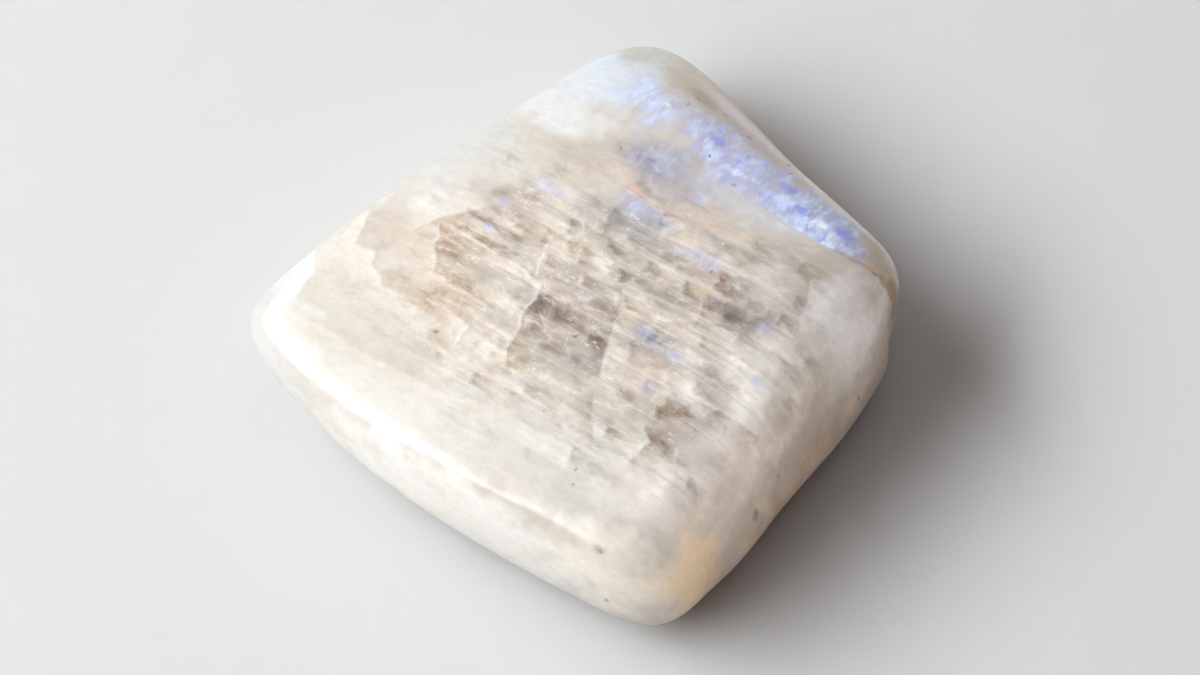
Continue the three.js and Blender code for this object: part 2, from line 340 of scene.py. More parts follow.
# Clear windows between two lamellae and two cross fractures, where the stone looks darker: middle along and
# across, length, width, how clear, and the end where they are clearest (1 for the start)
windows = [
    (-6.0, -2.1, 2.6, 1.5, 0.6, 1), (-6.1, -6.1, 2.6, 0.9, 0.35, 1), (-4.9, 0.05, 4.2, 0.5, 0.8, 1),
    (-4.3, -1.0, 4.6, 0.5, 0.85, 1), (-6.2, -3.4, 1.0, 0.8, 0.45, 1), (-5.3, -5.0, 1.6, 1.2, 0.4, 1),
    (-3.1, -5.2, 2.0, 1.2, 0.25, 1), (0.2, -2.8, 1.9, 1.5, 0.8, 1), (0.1, -4.0, 2.4, 0.9, 0.5, 1),
    (1.9, -2.6, 1.5, 1.2, 0.7, 1), (3.6, -3.2, 1.7, 0.8, 0.95, 0), (3.4, -2.3, 1.5, 0.8, 0.65, 0),
    (0.3, -5.6, 1.2, 0.8, 0.6, 1), (1.0, -6.6, 1.7, 0.6, 0.55, 1), (3.0, -4.6, 1.1, 0.5, 0.55, 1),
    (1.6, -4.3, 3.0, 0.8, 0.45, 1), (2.6, -0.9, 2.3, 1.6, 0.6, 0), (0.0, -0.6, 1.5, 1.1, 0.45, 1),
    (-1.1, -1.3, 1.0, 0.5, 0.55, 1), (-0.6, 1.3, 1.5, 1.3, 0.5, 1), (1.6, 2.1, 1.7, 0.6, 0.6, 1),
    (2.2, 0.95, 1.6, 0.7, 0.5, 1), (3.6, 1.1, 1.6, 0.6, 0.5, 1), (4.8, 3.2, 2.6, 0.8, 0.5, 1),
    (7.8, 3.5, 2.1, 1.3, 0.75, 1), (7.9, 1.9, 1.8, 1.2, 0.6, 1), (9.9, 3.1, 1.4, 0.9, 0.75, 1),
    (11.5, 3.4, 1.2, 0.8, 0.6, 1), (11.5, 4.7, 1.1, 0.9, 0.55, 1), (11.1, 6.7, 2.1, 1.0, 0.5, 1),
    (8.6, 6.7, 2.6, 1.0, 0.45, 1), (5.4, 1.3, 1.1, 0.6, 0.5, 1), (6.5, 1.5, 1.1, 0.6, 0.5, 1),
    (9.8, -1.3, 1.1, 0.6, 0.6, 1), (10.1, -4.3, 2.3, 0.9, 0.65, 1), (10.4, -2.7, 1.6, 0.8, 0.4, 1),
    (7.5, -2.2, 1.9, 0.6, 0.4, 1), (9.4, -6.3, 1.0, 0.8, 0.65, 1), (10.4, -6.6, 1.0, 0.9, 0.6, 1),
    (11.6, -7.0, 1.2, 0.9, 0.5, 1), (12.8, -7.4, 1.1, 0.7, 0.6, 1), (8.5, -9.5, 1.9, 0.6, 0.3, 1),
    (6.4, -8.2, 1.6, 0.6, 0.3, 1), (9.4, -7.7, 1.0, 0.4, 0.45, 1), (6.3, 5.5, 2.4, 0.7, 0.3, 1),
    (4.5, 5.2, 1.8, 0.5, 0.25, 1), (10.5, 1.0, 1.6, 0.7, 0.2, 1), (6.5, -4.9, 2.2, 0.5, 0.3, 1),
    (4.0, -7.1, 2.0, 0.5, 0.3, 1), (6.4, -6.8, 1.8, 0.5, 0.35, 1), (12.4, 1.1, 1.3, 0.6, 0.2, 1),
    (13.0, 2.6, 1.0, 0.7, 0.25, 1),
]
windowLook = {
    "crisp": 0.2, "soft": 0.5, "low": 0.22,  # softness of the edges
    "farLoss": 0.55,  # how much of the clearness is lost at the milky end
    "chance": 0.72,  # strength of the windows that come by chance
    "clouds": (0.36, 0.64), "cloudLoss": -0.95, "gain": 1.5,
    "shade": (0.43, 0.37, 0.34), "warmShade": (0.5, 0.33, 0.19),
}

# Where windows are warm brown: centre, radii, strength
warmPlaces = [
    ((-7.0, -3.5, 9), (6.0, 5.5, 5), 1.0),
    ((10.0, -5.6, 9), (3.5, 2.5, 5), 0.7),
    ((9.0, 3.2, 9), (5.0, 3.6, 5), 0.45),
]

# Cottony white patches: centre, radii, strength
cottons = [
    ((-2.3, -3.1, 9), (2.16, 1.2, 4), 0.75),
    ((0.6, -1.9, 9), (0.72, 0.54, 4), 0.5),
    ((1.2, 1.2, 9), (0.96, 0.6, 4), 0.6),
    ((8.8, -5.6, 9), (1.2, 0.6, 4), 0.4),
    ((9.6, 0.2, 9), (1.8, 0.72, 4), 0.25),
    ((9.6, 4.4, 9), (0.84, 0.48, 4), 0.3),
    ((10.8, -2.0, 9), (0.96, 0.48, 4), 0.15),
    ((4.5, -9.8, 9), (2.4, 0.96, 4), 0.5),
    ((9.2, -12.2, 9), (1.32, 0.96, 4), 0.5),
    ((-3.2, 1.9, 9), (2.04, 0.72, 4), 0.4),
]

# Thin seams between two places, and a painted shadow line: start, end, half width, strength, colour
seams = {
    "orangeSeam": ((-2.5, 7.1), (-0.3, 6.0), 0.3, 0.3, (232, 190, 158)),
    "redSeam": ((-0.9, 6.2), (0.4, 5.85), 0.22, 0.5, (236, 164, 132)),
    "orangeSeamEnd": ((0.4, 5.9), (3.3, 5.65), 0.22, 0.35, (236, 196, 166)),
    "tanSeam": ((3.0, 5.65), (7.4, 6.9), 0.22, 0.5, (218, 190, 162)),
    "tanSeamRise": ((7.0, 6.8), (10.9, 8.7), 0.2, 0.5, (204, 176, 148)),
    "fissureLine": ((10.4, 8.6), (13.2, 9.05), 0.16, 0.75, (188, 148, 106)),
    "topCrack": ((-4.3, 10.2), (-2.7, 13.8), 0.09, 0.35, (176, 168, 164)),
    # painted shadow in the shallow groove of a chip along the front-left shoulder
    "chipGrooveShadow": ((1.4, -12.32), (6.0, -12.2), 0.07, 0.7, (190, 182, 172)),
}
seamLook = {"up": 9, "depth": 3, "reach": 0.55}

# Stains and specks: centre, radii, softness, strength, colour
stains = {
    "crescentStart": ((13.05, 9.1, 8.95), (0.7, 0.26, 0.7), 0.7, 0.8, (196, 162, 126)),
    "crescent": ((13.72, 9.4, 8.3), (0.7, 0.55, 0.9), 0.5, 0.9, (166, 134, 98)),
    "crescentMiddle": ((14.05, 9.75, 7.2), (0.62, 0.7, 1.3), 0.5, 0.95, (164, 130, 92)),
    "crescentLow": ((14.12, 10.0, 5.4), (0.55, 0.6, 2.0), 0.6, 0.9, (168, 132, 92)),
    "crescentSpot": ((13.95, 9.7, 7.9), (0.16, 0.16, 0.3), 0.7, 0.6, (112, 90, 68)),
    "crescentSpotLow": ((14.15, 9.8, 6.9), (0.14, 0.16, 0.35), 0.7, 0.6, (120, 96, 72)),
    "crescentGrit": ((13.2, 9.1, 8.8), (0.12, 0.1, 0.2), 0.6, 0.8, (92, 72, 56)),
    "crescentGritLow": ((13.7, 8.9, 8.4), (0.14, 0.1, 0.2), 0.6, 0.8, (92, 72, 56)),
    "yellow": ((6.5, 2.4, 9), (1.0, 0.4, 2), 0.9, 0.6, (206, 186, 140)),
    "brownDot": ((-4.05, -7.13, 8.6), (0.28, 0.2, 1), 0.9, 0.8, (150, 122, 106)),
    "brownDotCore": ((-4.0, -7.1, 8.6), (0.09, 0.08, 1), 0.7, 0.9, (92, 74, 66)),
    "redFleck": ((-5.2, -4.24, 8.7), (0.18, 0.07, 1), 0.6, 0.8, (206, 120, 84)),
    "darkFleck": ((2.35, -3.49, 9.3), (0.16, 0.12, 1), 0.6, 0.9, (96, 70, 58)),
    "greySpot": ((4.18, -4.0, 9.3), (0.55, 0.4, 1), 0.9, 0.7, (134, 132, 138)),
    "blackFleck": ((6.33, 3.75, 9.6), (0.15, 0.06, 1), 0.6, 0.9, (70, 60, 52)),
    "rimFleck": ((0.74, 13.49, 8.4), (0.26, 0.09, 1), 0.7, 0.8, (96, 88, 92)),
    "bandFleck": ((1.83, 10.27, 9.2), (0.11, 0.11, 1), 0.6, 0.9, (78, 80, 96)),
    "oliveFleck": ((-2.4, 7.9, 9.2), (0.12, 0.14, 1), 0.6, 0.8, (150, 124, 80)),
    "greyFleck": ((-0.45, 8.13, 9.3), (0.42, 0.16, 1), 0.7, 0.7, (128, 124, 142)),
    "greyFleckSmall": ((-1.32, 7.96, 9.3), (0.14, 0.1, 1), 0.7, 0.7, (124, 116, 112)),
    "blueFleck": ((1.55, 8.08, 9.4), (0.08, 0.08, 1), 0.6, 0.8, (90, 88, 120)),
    "rimFleckLow": ((5.92, 12.07, 8.6), (0.2, 0.06, 1), 0.6, 0.8, (84, 78, 78)),
    "rimFleckMiddle": ((2.76, 12.92, 8.4), (0.3, 0.12, 1), 0.8, 0.7, (108, 98, 104)),
    "rimFleckUpper": ((2.3, 12.7, 8.5), (0.22, 0.1, 1), 0.8, 0.6, (118, 110, 116)),
    "rimFleckDot": ((5.19, 12.82, 8.1), (0.1, 0.08, 1), 0.6, 0.8, (92, 84, 88)),
    "topFleck": ((-1.19, 12.62, 8.9), (0.12, 0.22, 1), 0.8, 0.7, (136, 128, 124)),
    "topFleckLong": ((-1.02, 13.35, 8.6), (0.3, 0.09, 1), 0.8, 0.6, (122, 112, 106)),
    "bandFleckLow": ((3.93, 9.27, 9.4), (0.2, 0.14, 1), 0.7, 0.7, (120, 120, 128)),
    "lowDot": ((3.83, -8.11, 8.9), (0.07, 0.07, 1), 0.6, 0.8, (110, 104, 96)),
    "lowDotTwin": ((7.13, -10.02, 8.7), (0.08, 0.08, 1), 0.6, 0.9, (96, 98, 90)),
    "lowDotThird": ((7.36, -10.81, 8.6), (0.09, 0.09, 1), 0.6, 0.9, (84, 86, 78)),
    "greenGrit": ((10.35, -12.75, 7.6), (0.4, 0.2, 0.5), 0.9, 0.7, (140, 144, 128)),
    "greenGritCore": ((10.4, -12.8, 7.5), (0.09, 0.07, 0.3), 0.6, 0.9, (86, 92, 80)),
    "frontGrit": ((13.74, -12.09, 6.1), (0.1, 0.1, 0.2), 0.6, 0.9, (90, 88, 76)),
    "frontGritLow": ((11.19, -13.24, 3.75), (0.09, 0.09, 0.12), 0.6, 0.9, (90, 88, 76)),
    "frontGritSide": ((12.48, -13.0, 5.0), (0.07, 0.07, 0.12), 0.6, 0.8, (120, 112, 98)),
    "wallFleck": ((15.4, 4.7, 4.0), (0.3, 0.12, 0.3), 0.6, 0.8, (70, 58, 50)),
    "wallFleckMiddle": ((15.07, -2.86, 5.6), (0.3, 0.1, 0.4), 0.6, 0.8, (78, 64, 54)),
    "wallFleckLow": ((15.36, -0.81, 4.0), (0.3, 0.08, 0.2), 0.6, 0.7, (90, 74, 62)),
    "wallFleckFront": ((15.1, -5.0, 4.8), (0.4, 0.3, 0.7), 0.8, 0.7, (120, 92, 66)),
}
stainRagged = 0.5  # how ragged they are, against the zones


def placesOnSkin():
    points = np.empty(len(stone.data.vertices) * 3)
    stone.data.vertices.foreach_get("co", points)
    x, y, z = points.reshape(-1, 3).T / mm
    turn = math.radians(-lamellae["heading"])
    return np.array([x * math.cos(turn) - y * math.sin(turn), x * math.sin(turn) + y * math.cos(turn), z])


def uneven(places, name):
    total = np.zeros(places.shape[1])
    for scale, seed, strength in unevenness[name]:
        shift = Vector((seed, 0, 0))
        total += np.array([mathNoise.noise(Vector(place) * scale + shift) for place in places.T]) * strength
    return total


def ramp(value, width):
    # from 0 at 0 to 1 at the width
    return np.clip(value / width, 0, 1)


def rampAround(value, width):
    # from 0 to 1 over the width, with 0 in the middle
    return np.clip(0.5 + value / width, 0, 1)


def patchOnSkin(places, ragged, centre, radii, turn=0, soft=0.8):
    # an egg-shaped patch: 1 inside, fading to 0 at its rim
    along, across, up = places - np.array(centre)[:, None]
    cosine, sine = math.cos(math.radians(turn)), math.sin(math.radians(turn))
    turned = np.array([along * cosine + across * sine, across * cosine - along * sine, up])
    distance = np.linalg.norm(turned / np.array(radii)[:, None], axis=0) + ragged
    part = ramp(1 - distance, soft)
    return part * part * (3 - 2 * part)


def strongest(places, ragged, patches):
    total = np.zeros(places.shape[1])
    for *patch, strength in patches:
        total = np.maximum(total, patchOnSkin(places, ragged, *patch) * strength)
    return total


def windowOnSkin(places, along, across, length, width, atStart):
    # a window leaning like the cross fractures: crisp where it starts and on top, milky towards its other end
    shifted = places[0] - along + lamellae["columnLean"] * (places[1] - across)
    if not atStart:
        shifted = -shifted
    mask = 1 - windowLook["farLoss"] * rampAround(shifted, length)
    for inside, edge in (
        (shifted + length / 2, "crisp"),
        (length / 2 - shifted, "soft"),
        (across + width / 2 - places[1], "crisp"),
        (places[1] - across + width / 2, "low"),
    ):
        mask = mask * rampAround(inside, windowLook[edge])
    return mask


def besideLine(places, points):
    # distance from a line of points, negative on the milky side, and how far past its ends
    nearest = np.full(places.shape[1], np.inf)
    signed = nearest.copy()
    past = np.zeros_like(nearest)
    last = len(points) - 2
    for index, (start, end) in enumerate(zip(points, points[1:])):
        run = np.subtract(end, start)
        length = np.hypot(*run)
        run = run / length
        x, y = places[0] - start[0], places[1] - start[1]
        along, aside = x * run[0] + y * run[1], y * run[0] - x * run[1]
        distance = np.hypot(aside, along - np.clip(along, 0, length))
        beyond = np.maximum(-along if index == 0 else 0, along - length if index == last else 0)
        closer = distance < nearest
        signed = np.where(closer, np.copysign(distance, aside), signed)
        past = np.where(closer, np.maximum(beyond, 0), past)
        nearest = np.minimum(nearest, distance)
    return signed, past


def blended(colour, shade, mask):
    return [value + (new - value) * mask for value, new in zip(colour, shade)]


def paintSkin(name, red, green, blue, alpha):
    paint = stone.data.color_attributes.new(name, "FLOAT_COLOR", "POINT")
    paint.data.foreach_set("color", np.stack([red, green, blue, alpha], axis=1).ravel())


def wallMask(places, ragged):
    squashed = places * np.array(wallStreaks["squash"])[:, None]
    streaks = uneven(squashed, "wallStreaks") + uneven(places, "wall")
    streaks = np.clip(streaks * wallStreaks["gain"] + wallStreaks["level"], 0, 1)
    patch = patchOnSkin(places, ragged, wallStreaks["centre"], wallStreaks["radii"], soft=wallStreaks["soft"])
    return patch * streaks * wallStreaks["strength"]


def leftWhiteMask(places, drifted):
    signed = besideLine(drifted, leftWhite["edge"])[0]
    mask = rampAround(-signed, leftWhite["crisp"]) * (places[0] < leftWhite["until"])
    mask = mask * ramp(places[2] - leftWhite["above"], leftWhite["aboveFade"])
    return mask * ramp(places[1] - leftWhite["acrossFrom"], leftWhite["acrossFade"]) * leftWhite["strength"]


def paintTone(places, drifted, ragged):
    # the colour of the stone, and how full of layers and crystals it is
    mixed = np.clip(uneven(places, "milk") + 0.5, 0, 1)
    colour = blended(*(tint(*shade) for shade in milkColours), mixed)
    for centre, radii, turn, soft, strength, shade in zones.values():
        mask = patchOnSkin(places, ragged, centre, radii, turn, soft) * strength
        colour = blended(colour, tint(*shade), mask)
    warmWall = [value * warm for value, warm in zip(colour, tint(*wallStreaks["colour"]))]
    colour = blended(colour, warmWall, wallMask(places, ragged))
    colour = blended(colour, tint(*leftWhite["colour"]), leftWhiteMask(places, drifted))
    paintSkin("tone", *colour, patchOnSkin(places, ragged, **layered))


def paintDepths(places, drifted, ragged):
    # how clear and how milky the stone is, the bright edges of its steps, and how warm its windows are;
    # by the steps, the bright edges and the milky and clear sides are partly painted light and shade
    top = ramp(places[2] - topFace["above"], topFace["fade"])
    torn = drifted + np.array([uneven(places, "tearAlong"), uneven(places, "tearAcross"), np.zeros_like(top)])
    clear, milk, edge = np.zeros((3, places.shape[1]))
    for milky, clearer, reach, bright, points in steps:
        signed, past = besideLine(drifted, points)
        side = rampAround(signed, stepLook["crisp"])
        near = np.exp(-abs(signed) / reach) * (1 - ramp(past, stepLook["ends"])) * top
        clear = np.maximum(clear, clearer * side * near)
        milk = np.maximum(milk, milky * (1 - side) * near)
        line = (1 - ramp(abs(signed), stepLook["line"])) * (1 - ramp(past, stepLook["lineEnds"])) * top
        edge = np.maximum(edge, bright * line)
    for along, across, length, width, strength, atStart in windows:
        window = windowOnSkin(torn, along, across, length, width, atStart)
        clear = np.maximum(clear, window * strength * top)
    milk = np.maximum(milk, strongest(places, ragged, cottons))
    paintSkin("depths", clear, milk, edge, strongest(places, ragged, warmPlaces))


def paintMarks(places, ragged):
    # seams, stains and a painted shadow line, each over the ones before it
    masks = []
    for start, end, width, strength, shade in seams.values():
        run = np.subtract(end, start)
        middle = (*(np.add(end, start) / 2), seamLook["up"])
        radii = (np.hypot(*run) * seamLook["reach"], width, seamLook["depth"])
        turn = math.degrees(math.atan2(run[1], run[0]))
        masks.append((patchOnSkin(places, ragged, middle, radii, turn) * strength, shade))
    for centre, radii, soft, strength, shade in stains.values():
        patch = patchOnSkin(places, ragged * stainRagged, centre, radii, soft=soft)
        masks.append((patch * strength, shade))
    marks = np.zeros((4, places.shape[1]))
    for mask, shade in masks:
        marks = blended(marks, (*tint(*shade), 1), mask)
    paintSkin("marks", *marks)


def paintSheen(places, ragged):
    # how strong the painted sheen is, and its painted violet and white flashes
    glow = strongest(places, ragged, paintedSheen)
    aboveRim = places[1] - np.interp(places[0], *sheenRim["line"])
    byRim = (places[0] > sheenRim["line"][0][0]) * (places[1] > sheenRim["acrossFrom"])
    glow = np.where(byRim, glow * rampAround(aboveRim, sheenRim["crisp"]), glow)
    # a painted white highlight line just above the rim of the sheen
    rimFlash = 1 - ramp(abs(aboveRim - sheenRim["flashAbove"]), sheenRim["flashWidth"])
    inFlash = (places[0] > sheenRim["flashFrom"]) * (places[0] < sheenRim["flashTo"])
    rimFlash = rimFlash * inFlash * sheenRim["flashStrength"]
    violet = strongest(places, ragged, violetFlashes)
    white = np.maximum(strongest(places, ragged, whiteFlashes), rimFlash)
    paintSkin("paintedSheen", glow, violet, white, np.ones_like(glow))


def paintStone():
    places = placesOnSkin()
    ragged = uneven(places, "ragged")
    drift = [uneven(places, "driftAlong"), uneven(places, "driftAcross"), np.zeros_like(ragged)]
    drifted = places + np.array(drift)
    paintTone(places, drifted, ragged)
    paintDepths(places, drifted, ragged)
    paintMarks(drifted, ragged)
    paintSheen(places, ragged)


paintStone()
print("stone painted:", len(stone.data.color_attributes), "layers of paint")

# Helpers for shader nodes


def newMaterial(name):
    material = bpy.data.materials.new(name)
    material.use_nodes = True
    tree = material.node_tree
    tree.nodes.clear()
    output = tree.nodes.new("ShaderNodeOutputMaterial")
    shader = tree.nodes.new("ShaderNodeBsdfPrincipled")
    tree.links.new(shader.outputs["BSDF"], output.inputs["Surface"])
    shader.subsurface_method = "BURLEY"
    return material, tree, shader


def setInputs(node, values):
    for name, value in values.items():
        node.inputs[name].default_value = value


def plug(tree, value, socket):
    if isinstance(value, bpy.types.NodeSocket):
        tree.links.new(value, socket)
    elif socket.type == "RGBA":
        socket.default_value = (*value, 1)
    else:
        socket.default_value = value


def calc(tree, operation, *values, clamp=False):
    node = tree.nodes.new("ShaderNodeMath")
    node.operation = operation
    node.use_clamp = clamp
    for value, socket in zip(values, node.inputs):
        plug(tree, value, socket)
    return node.outputs[0]


def times(tree, first, *others):
    for other in others:
        first = calc(tree, "MULTIPLY", first, other)
    return first


def timesPlus(tree, value, factor, added):
    return calc(tree, "MULTIPLY_ADD", value, factor, added)


def centred(tree, value):
    return calc(tree, "SUBTRACT", value, 0.5)


def vectorCalc(tree, operation, *values):
    node = tree.nodes.new("ShaderNodeVectorMath")
    node.operation = operation
    for value, socket in zip(values, node.inputs):
        plug(tree, value, socket)
    return node.outputs["Vector"]


def fade(tree, value, low, high, start=0.0, end=1.0):
    # a soft step from start to end as the value goes from low to high
    node = tree.nodes.new("ShaderNodeMapRange")
    node.interpolation_type = "SMOOTHSTEP"
    plug(tree, value, node.inputs["Value"])
    setInputs(node, {"From Min": low, "From Max": high, "To Min": start, "To Max": end})
    return node.outputs["Result"]


def stretch(tree, vector, scale, shift=(0, 0, 0), turn=0):
    node = tree.nodes.new("ShaderNodeMapping")
    plug(tree, vector, node.inputs["Vector"])
    setInputs(node, {"Scale": scale, "Location": shift, "Rotation": (0, 0, math.radians(turn))})
    return node.outputs["Vector"]


def noise(tree, vector, detail=2.0, roughness=0.5, distortion=0.0, colour=False):
    node = tree.nodes.new("ShaderNodeTexNoise")
    plug(tree, vector, node.inputs["Vector"])
    setInputs(node, {"Scale": 1, "Detail": detail, "Roughness": roughness, "Distortion": distortion})
    return node.outputs["Color" if colour else "Fac"]


def blend(tree, factor, first, second, mode="MIX"):
    node = tree.nodes.new("ShaderNodeMix")
    node.data_type = "RGBA"
    node.blend_type = mode
    # the colours of this node are its inputs 6 and 7 and its output 2
    plug(tree, factor, node.inputs[0])
    plug(tree, first, node.inputs[6])
    plug(tree, second, node.inputs[7])
    return node.outputs[2]


def painted(tree, name):
    node = tree.nodes.new("ShaderNodeAttribute")
    node.attribute_name = name
    return node.outputs["Color"], node.outputs["Alpha"]


def split(tree, vector):
    node = tree.nodes.new("ShaderNodeSeparateXYZ")
    plug(tree, vector, node.inputs[0])
    return node.outputs[0], node.outputs[1], node.outputs[2]


def join(tree, x, y, z):
    node = tree.nodes.new("ShaderNodeCombineXYZ")
    for value, socket in zip((x, y, z), node.inputs):
        plug(tree, value, socket)
    return node.outputs[0]


def brighten(tree, colour, amount):
    return blend(tree, 1.0, colour, join(tree, amount, amount, amount), "MULTIPLY")


def chance(tree, x, y=None):
    # a number between 0 and 1 for each whole x, or pair of whole numbers
    node = tree.nodes.new("ShaderNodeTexWhiteNoise")
    if y is None:
        node.noise_dimensions = "1D"
        plug(tree, x, node.inputs["W"])
    else:
        node.noise_dimensions = "2D"
        plug(tree, join(tree, x, y, 0.0), node.inputs["Vector"])
    return node.outputs["Value"]


def brokenCells(tree, place, scale, shake, amount):
    # small cells with broken outlines: three chances for each, and the distance from its middle
    node = tree.nodes.new("ShaderNodeTexVoronoi")
    setInputs(node, {"Scale": 1})
    shaken = vectorCalc(tree, "MULTIPLY_ADD", shake, (amount,) * 3, stretch(tree, place, scale))
    plug(tree, shaken, node.inputs["Vector"])
    return split(tree, node.outputs["Color"]), node.outputs["Distance"]


# The polished moonstone. A fade goes from one value to another, and may be followed by what it gives at each.

# Noise in the stone: features per millimetre along, across and up, and where it is taken from
noises = {
    "wander": {"scale": (0.07, 0.12, 0.1), "detail": 1, "colour": True},
    "grit": {"scale": (1.0, 1.3, 1.1), "detail": 3, "roughness": 0.6, "colour": True},
    "clouds": {"scale": (0.75, 1.2, 1.1), "shift": (2, 5, 1), "detail": 5, "roughness": 0.62,
               "distortion": 0.4},
    "mottling": {"scale": (1.6, 3.0, 2.4), "shift": (3, 3, 8), "detail": 3, "roughness": 0.75},
    "streaks": {"scale": (0.15, 1.25, 0.5), "shift": (5, 1, 3), "detail": 3, "roughness": 0.62},
    "breaks": {"scale": (0.9, 1.6, 0.5), "shift": (8, 3, 2), "detail": 2},
    "flicker": {"scale": (1.7, 0.9, 1.2), "shift": (1, 9, 4), "detail": 4, "roughness": 0.6, "colour": True},
    "polish": {"scale": (0.9, 2.0, 2.0), "detail": 2},
}
blockLook = {
    "rowNoise": 0.5, "rowNoiseUp": 7.7,
    "clearStart": 0.3,  # millimetres after a cross fracture
    "clearEnd": (0.85, 0.0), "rowStart": (0.0, 0.35), "rowEnd": (1.0, 0.8),  # parts of a block
    "chance": (0.1, 0.9),
    "rowLine": 0.11, "columnLine": 0.16,  # millimetres
    "light": 0.03, "lightAlong": 0.07, "lightAcross": -0.13, "lightChance": 0.06,
}
crystalLook = {
    "scale": (1.3, 2.6, 1.8), "shake": 2.4,
    "inClear": 0.6, "elsewhere": 0.4,
    "light": 0.22, "warm": (1.05, 1.0, 0.92), "cool": (0.96, 0.99, 1.06),
    # sparks are painted glints: bright spots of colour on a few crystals
    "sparks": (0.9, 0.94), "sparkSize": (0.34, 0.1), "sparkStrength": 0.45, "sparkColour": (250, 248, 246),
}
cloudLook = {
    "calm": (0.75, 0.25),  # clouds are this much stronger among the layers, and this strong elsewhere
    "wisps": (0.5, 0.72), "wispStrength": 0.6,
    "milk": (0.3, 0.6, 0.45, 1.0), "milkStrength": 0.75, "milkColour": (241, 234, 226),
    "dark": (0.48, 0.28), "darkStrength": 0.4, "darkColour": (0.62, 0.54, 0.47),
    "mottling": (0.3, 0.7, 0.955, 1.045),
    "streaks": (-0.2, 0.2, 0.83, 1.14),
}
# the bright lines of block edges are partly painted highlights, where cracks catch the light
lineLook = {
    "threads": (0.014, 0.0), "threadBreaks": (0.45, 0.6),
    "threadStrength": 0.28, "threadColour": (246, 243, 238),
    "breaks": (0.36, 0.56), "rows": 0.42, "columns": 0.6,
    "edges": (0.5, 1.1), "edgeBreaks": 0.25,
    "strength": 0.36, "colour": (250, 243, 234),
}
# Colours of the painted sheen and its flakes
sheenLook = {
    "flakes": (2.9, 1.2, 1.5), "shake": 1.4,
    "base": {"strength": 0.85, "colour": (182, 184, 214)},
    "pale": {"flicker": 1.9, "flake": 0.35, "flash": 0.5, "fade": (0.9, 1.6), "strength": 0.9,
             "colour": (214, 229, 255)},
    "deep": {"flicker": 1.9, "flake": 0.35, "flash": 0.55, "fade": (1.1, 1.8), "strength": 0.8,
             "colour": (146, 148, 232)},
    "bright": {"flicker": 1.2, "flake": 0.6, "flash": 0.6, "fade": (1.25, 1.9), "strength": 1.0,
               "colour": (255, 255, 255)},
}
polishLook = {
    "roughness": (0.3, 0.7, 0.46, 0.34),  # glossier where it is cloudy
    "bump": 0.35, "bumpDepth": 0.03,
    "scatter": (1.0, 0.8, 0.62), "scatterDepth": 28,  # milky feldspar lets light in deep
    "coat": 0.4, "coatRoughness": 0.22,
}


def stoneNoise(tree, place, name):
    values = dict(noises[name])
    moved = stretch(tree, place, values.pop("scale"), values.pop("shift", (0, 0, 0)))
    return noise(tree, moved, **values)


def stonePatterns(tree):
    # places along and across the lamellae, plain and bent, and the patterns that several effects use
    coordinates = tree.nodes.new("ShaderNodeTexCoord").outputs["Object"]
    place = stretch(tree, coordinates, (1 / mm,) * 3, turn=-lamellae["heading"])
    shift = vectorCalc(tree, "SUBTRACT", stoneNoise(tree, place, "wander"), (0.5, 0.5, 0.5))
    bent = vectorCalc(tree, "MULTIPLY_ADD", shift, (lamellae["wander"], lamellae["wander"], 0), place)
    depths, warmth = painted(tree, "depths")
    clear, milk, edge = split(tree, depths)
    patterns = {"place": place, "warmth": warmth, "clear": clear, "milk": milk, "edge": edge}
    for name in ("grit", "flicker", "polish"):
        patterns[name] = stoneNoise(tree, place, name)
    for name in ("clouds", "mottling", "streaks", "breaks"):
        patterns[name] = stoneNoise(tree, bent, name)
    gritAlong, gritAcross = split(tree, patterns["grit"])[:2]
    along, across = split(tree, bent)[:2]
    along = timesPlus(tree, centred(tree, gritAlong), lamellae["jagged"] * 2, along)
    across = timesPlus(tree, centred(tree, gritAcross), lamellae["rowWave"] * 2, across)
    patterns.update(blocks(tree, along, across))
    return patterns


def blocks(tree, along, across):
    # rows between lamellae, cut into blocks by cross fractures, and the lines between the blocks
    rowHeight, columnLength, seed = lamellae["rowHeight"], lamellae["columnLength"], lamellae["seed"]
    slowly = times(tree, across, blockLook["rowNoise"] / rowHeight)
    rowNoise = noise(tree, join(tree, seed, slowly, blockLook["rowNoiseUp"]), detail=1)
    rowPlace = calc(tree, "DIVIDE", across, rowHeight)
    rowPlace = timesPlus(tree, rowNoise, lamellae["rowUneven"], rowPlace)
    row = calc(tree, "ADD", calc(tree, "FLOOR", rowPlace), seed)
    rowPart = calc(tree, "FRACT", rowPlace)
    sheared = timesPlus(tree, across, lamellae["columnLean"], along)
    sheared = timesPlus(tree, chance(tree, row), lamellae["columnJitter"], sheared)
    columnPlace = calc(tree, "DIVIDE", sheared, columnLength)
    columnPart = calc(tree, "FRACT", columnPlace)
    blockChance = chance(tree, row, calc(tree, "FLOOR", columnPlace))
    clear = times(
        tree,
        fade(tree, columnPart, *blockLook["clearEnd"]),
        fade(tree, columnPart, 0.0, blockLook["clearStart"] / columnLength),
        fade(tree, rowPart, *blockLook["rowStart"]),
        fade(tree, rowPart, *blockLook["rowEnd"]),
        fade(tree, blockChance, *blockLook["chance"]),
    )
    columnLine = fade(tree, columnPart, 1 - blockLook["columnLine"] / columnLength, 1.0)
    light = timesPlus(tree, columnPart, blockLook["lightAlong"], blockLook["light"])
    light = timesPlus(tree, rowPart, blockLook["lightAcross"], light)
    return {
        "blockClear": clear,
        "rowLine": fade(tree, rowPart, blockLook["rowLine"] / rowHeight, 0.0),
        "columnLine": times(tree, columnLine, blockChance),
        "blockLight": timesPlus(tree, blockChance, blockLook["lightChance"], light),
    }


